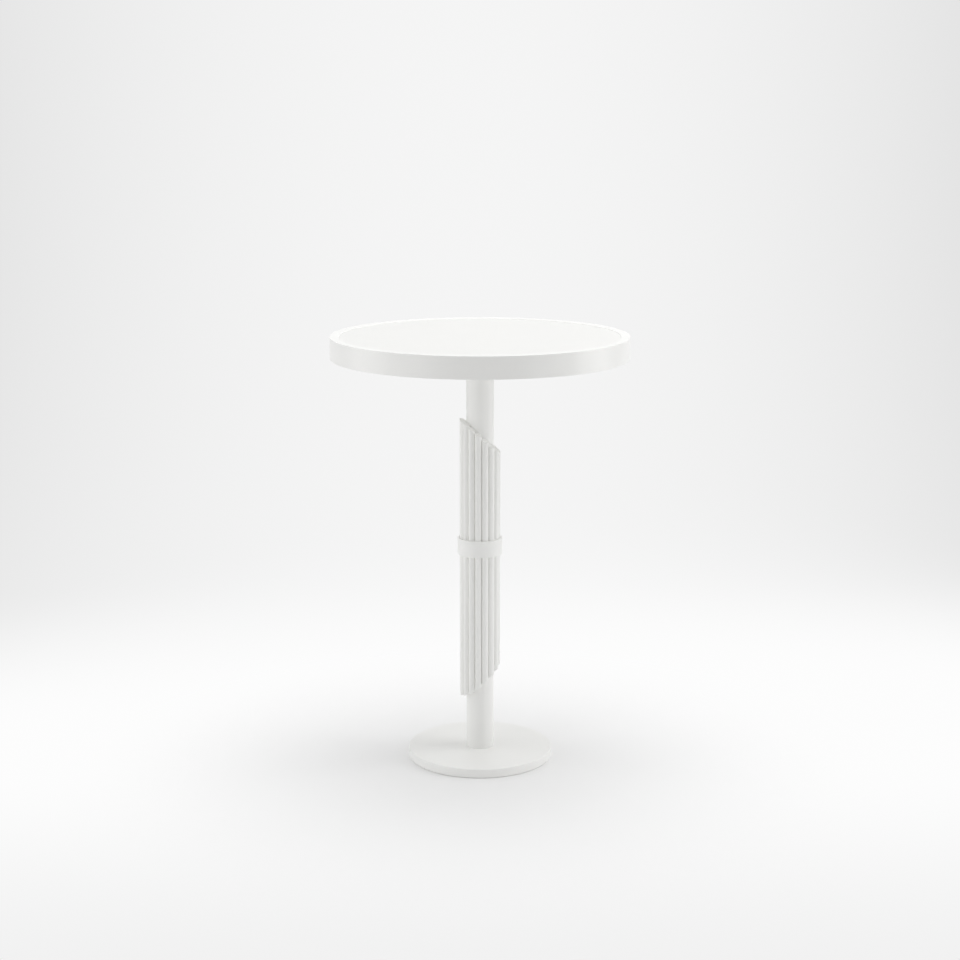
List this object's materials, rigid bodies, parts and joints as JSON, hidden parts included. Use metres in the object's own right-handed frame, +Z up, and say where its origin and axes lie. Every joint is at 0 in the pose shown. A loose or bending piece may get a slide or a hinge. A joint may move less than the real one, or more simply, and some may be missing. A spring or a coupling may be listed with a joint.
{
  "type": "bar table",
  "caption": "Round bar table: framed round top on one column wrapped in a bundle of slant-cut tubes held by a band, on a flat round base.",
  "frame": {"origin": "centre of the footprint on the floor, on the column's axis", "axes": "+Z up along the column, -Y towards the front, where the bundle's upper ends step down from left to right, +X to the right"},
  "size_m": [0.75, 0.75, 1.1],
  "materials": {
    "white_lacquer": "satin white lacquer over the rim's board, with no grain showing",
    "white_laminate": "fine matt white laminate",
    "white_powder_coat": "satin white powder coat",
    "backing_board": "white-faced board with a matt balancing sheet",
    "zinc_steel": "bright zinc plate",
    "brass": "plain turned brass",
    "white_liner": "white matt rubber",
    "soft_pad": "pale grey matt rubber"
  },
  "bodies": {
    "root": {"rim_ring": "white_lacquer", "top_panel": "white_laminate", "core_board": "backing_board", "rim_screws": "zinc_steel", "mounting_plate": "white_powder_coat", "threaded_inserts": "brass", "plate_screws": "zinc_steel", "column_tube": "white_powder_coat", "foot_plug": "zinc_steel", "tie_rod": "zinc_steel", "tie_nuts": "zinc_steel", "tie_washers": "zinc_steel", "base_disc": "white_powder_coat", "floor_pad": "soft_pad", "band_ring": "white_powder_coat", "band_liner": "white_liner", "band_grub_screws": "zinc_steel", "upper_tube_pins": "zinc_steel", "lower_tube_pins": "zinc_steel", "upper_tube_caps": "white_powder_coat", "lower_tube_caps": "white_powder_coat", "tube_01": "white_powder_coat", "tube_02": "white_powder_coat", "tube_03": "white_powder_coat", "tube_04": "white_powder_coat", "tube_05": "white_powder_coat", "tube_06": "white_powder_coat", "tube_07": "white_powder_coat", "tube_08": "white_powder_coat", "tube_09": "white_powder_coat", "tube_10": "white_powder_coat", "tube_11": "white_powder_coat", "tube_12": "white_powder_coat", "tube_13": "white_powder_coat", "tube_14": "white_powder_coat", "tube_15": "white_powder_coat", "tube_16": "white_powder_coat"}
  },
  "joints": []
}
